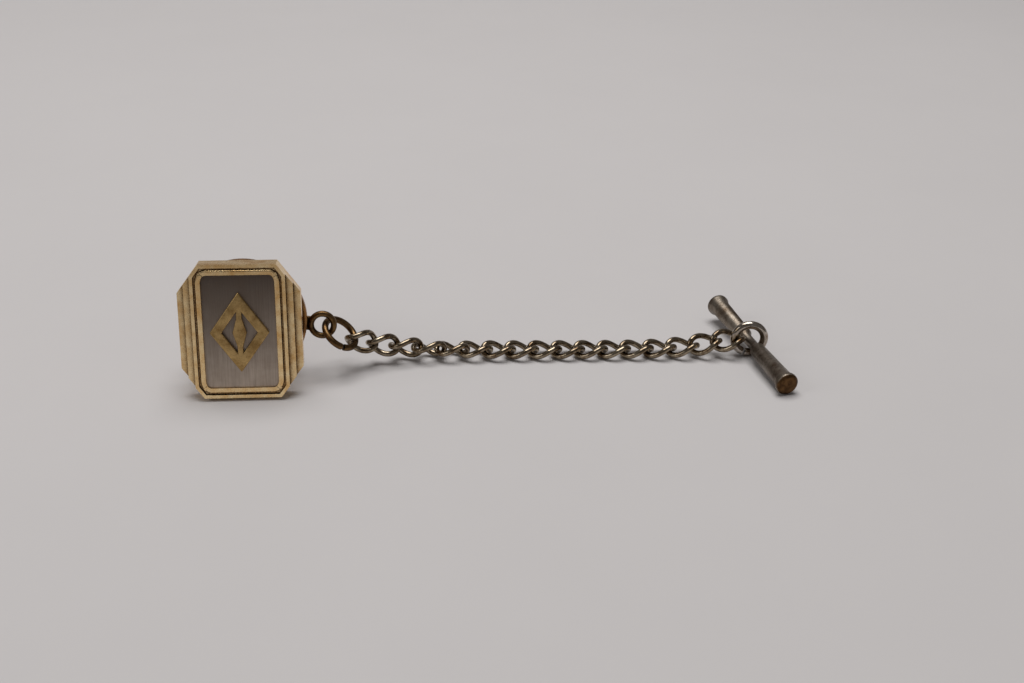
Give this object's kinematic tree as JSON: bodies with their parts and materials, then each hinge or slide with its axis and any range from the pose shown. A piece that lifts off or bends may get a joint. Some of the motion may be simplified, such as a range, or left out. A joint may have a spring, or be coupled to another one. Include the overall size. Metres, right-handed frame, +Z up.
{
  "type": "tie tack",
  "caption": "Tie tack: stepped octagonal head on a pointed post, ball-lock clutch with eyelet, curb safety chain and a toggle bar for a buttonhole.",
  "frame": {"origin": "centre of the base of the whole object as it stands and lies on a table", "axes": "+Z up, +X along the chain from the head to the toggle bar, -Y the side the face looks to"},
  "size_m": [0.0568, 0.0188, 0.0125],
  "materials": {
    "gilt_brass": "gold-plated brass, polished high spots with brown tarnish in the grooves",
    "brushed_silver": "silvered sheet with a fine upright brushed grain",
    "gilt_relief": "worn gold plate, satin, with dark tarnish round its edge",
    "post_steel": "bright drawn steel",
    "tarnished_brass": "brass gone brown, coppery on its edges",
    "spring_steel": "hard bright steel",
    "chain_steel": "polished plated wire, brown in its recesses",
    "ring_steel": "bright plated wire",
    "bar_steel": "satin plated bar with brown stains"
  },
  "bodies": {
    "head": {"face_shell": "gilt_brass", "inlay_panel": "brushed_silver", "ornament": "gilt_relief", "back_plate": "gilt_brass", "post_pad": "gilt_brass", "tack_post": "post_steel"},
    "clutch_liner": {"guide_bush": "tarnished_brass"},
    "clutch": {"clutch_disc": "tarnished_brass", "clutch_housing": "tarnished_brass", "wedge_ring": "tarnished_brass", "clutch_spring": "spring_steel", "eyelet": "tarnished_brass"},
    "release": {"ball_cage": "spring_steel", "locking_ball_1": "spring_steel", "locking_ball_2": "spring_steel", "locking_ball_3": "spring_steel", "release_knob": "tarnished_brass"},
    "jump_ring": {"jump_ring": "chain_steel"},
    "curb_link_01": {"curb_link_01": "chain_steel"},
    "curb_link_02": {"curb_link_02": "chain_steel"},
    "curb_link_03": {"curb_link_03": "chain_steel"},
    "curb_link_04": {"curb_link_04": "chain_steel"},
    "curb_link_05": {"curb_link_05": "chain_steel"},
    "curb_link_06": {"curb_link_06": "chain_steel"},
    "curb_link_07": {"curb_link_07": "chain_steel"},
    "curb_link_08": {"curb_link_08": "chain_steel"},
    "curb_link_09": {"curb_link_09": "chain_steel"},
    "curb_link_10": {"curb_link_10": "chain_steel"},
    "curb_link_11": {"curb_link_11": "chain_steel"},
    "curb_link_12": {"curb_link_12": "chain_steel"},
    "curb_link_13": {"curb_link_13": "chain_steel"},
    "curb_link_14": {"curb_link_14": "chain_steel"},
    "curb_link_15": {"curb_link_15": "chain_steel"},
    "curb_link_16": {"curb_link_16": "chain_steel"},
    "curb_link_17": {"curb_link_17": "chain_steel"},
    "end_ring": {"end_ring": "ring_steel"},
    "toggle_bar": {"toggle_bar": "bar_steel"}
  },
  "joints": [
    {"name": "clutch_pull", "type": "slide", "parent": "head", "child": "clutch_liner", "axis": [-0.0772, 0.9808, -0.1789], "range_m": [0, 0.0072]},
    {"name": "clutch_turn", "type": "hinge", "parent": "clutch_liner", "child": "clutch", "pos_m": [-0.02266, -0.004, 0.00567], "axis": [0.0772, -0.9808, 0.1789], "continuous": true},
    {"name": "release_pull", "type": "slide", "parent": "clutch", "child": "release", "axis": [-0.0772, 0.9808, -0.1789], "range_m": [0, 0.0008], "stiffness_N_per_m": 1500, "springref_m": -0.001, "deforming": ["clutch_spring"]},
    {"name": "jump_ring_swing", "type": "hinge", "parent": "clutch", "child": "jump_ring", "pos_m": [-0.01474, -0.00327, 0.00434], "axis": [0.5033, 0.1932, 0.8422], "range_deg": [-70, 45]},
    {"name": "link_01_pitch", "type": "hinge", "parent": "jump_ring", "child": "curb_link_01", "pos_m": [-0.01307, -0.0027, 0.00322], "axis": [-0.4367, 0, -0.8996], "range_deg": [-24, 22]},
    {"name": "link_02_yaw", "type": "hinge", "parent": "curb_link_01", "child": "curb_link_02", "pos_m": [-0.01123, -0.00185, 0.00232], "axis": [-0.2325, 0.9465, 0.2236], "range_deg": [-26, 30]},
    {"name": "link_03_pitch", "type": "hinge", "parent": "curb_link_02", "child": "curb_link_03", "pos_m": [-0.0092, -0.0012, 0.0017], "axis": [0.2603, -0.4757, 0.8402], "range_deg": [-22, 26]},
    {"name": "link_04_yaw", "type": "hinge", "parent": "curb_link_03", "child": "curb_link_04", "pos_m": [-0.00706, -0.00074, 0.0013], "axis": [0.0015, -0.6002, -0.7998], "range_deg": [-30, 24]},
    {"name": "link_05_pitch", "type": "hinge", "parent": "curb_link_04", "child": "curb_link_05", "pos_m": [-0.00488, -0.00041, 0.00106], "axis": [-0.1249, 0.9406, -0.3158], "range_deg": [-24, 28]},
    {"name": "link_06_yaw", "type": "hinge", "parent": "curb_link_05", "child": "curb_link_06", "pos_m": [-0.00268, -0.00016, 0.00091], "axis": [0.0273, 0.1358, 0.9904], "range_deg": [-30, 30]},
    {"name": "link_07_pitch", "type": "hinge", "parent": "curb_link_06", "child": "curb_link_07", "pos_m": [-0.00047, 0.00003, 0.00083], "axis": [0.0703, -0.9965, 0.0451], "range_deg": [-30, 30]},
    {"name": "link_08_yaw", "type": "hinge", "parent": "curb_link_07", "child": "curb_link_08", "pos_m": [0.00174, 0.00018, 0.00077], "axis": [-0.0127, -0.0131, -0.9998], "range_deg": [-30, 30]},
    {"name": "link_09_pitch", "type": "hinge", "parent": "curb_link_08", "child": "curb_link_09", "pos_m": [0.00396, 0.00031, 0.00074], "axis": [-0.0541, 0.9985, -0.0026], "range_deg": [-30, 30]},
    {"name": "link_10_yaw", "type": "hinge", "parent": "curb_link_09", "child": "curb_link_10", "pos_m": [0.00618, 0.00043, 0.00073], "axis": [0.0034, 0.0006, 1], "range_deg": [-30, 30]},
    {"name": "link_11_pitch", "type": "hinge", "parent": "curb_link_10", "child": "curb_link_11", "pos_m": [0.00839, 0.00054, 0.00072], "axis": [0.0484, -0.9988, 0], "range_deg": [-30, 30]},
    {"name": "link_12_yaw", "type": "hinge", "parent": "curb_link_11", "child": "curb_link_12", "pos_m": [0.01061, 0.00065, 0.00072], "axis": [0.0057, 0.001, -1], "range_deg": [-30, 30]},
    {"name": "link_13_pitch", "type": "hinge", "parent": "curb_link_12", "child": "curb_link_13", "pos_m": [0.01283, 0.00076, 0.00073], "axis": [-0.0464, 0.9989, 0.0088], "range_deg": [-30, 30]},
    {"name": "link_14_yaw", "type": "hinge", "parent": "curb_link_13", "child": "curb_link_14", "pos_m": [0.01505, 0.00086, 0.00077], "axis": [-0.0375, -0.0551, 0.9978], "range_deg": [-30, 30]},
    {"name": "link_15_pitch", "type": "hinge", "parent": "curb_link_14", "child": "curb_link_15", "pos_m": [0.01726, 0.00096, 0.00086], "axis": [0.0623, -0.9805, -0.1864], "range_deg": [-30, 30]},
    {"name": "link_16_yaw", "type": "hinge", "parent": "curb_link_15", "child": "curb_link_16", "pos_m": [0.01947, 0.00106, 0.00107], "axis": [0.1804, 0.3962, -0.9003], "range_deg": [-28, 30]},
    {"name": "link_17_pitch", "type": "hinge", "parent": "curb_link_16", "child": "curb_link_17", "pos_m": [0.02164, 0.00116, 0.00155], "axis": [-0.1005, 0.8652, 0.4913], "range_deg": [-30, 30]},
    {"name": "end_ring_swing", "type": "hinge", "parent": "curb_link_17", "child": "end_ring", "pos_m": [0.02384, 0.00126, 0.00182], "axis": [0, 0, 1], "range_deg": [-14, 14]},
    {"name": "toggle_swing", "type": "hinge", "parent": "end_ring", "child": "toggle_bar", "pos_m": [0.02501, 0.00131, 0.0014], "axis": [0, 0, 1], "range_deg": [-36, 6]}
  ]
}
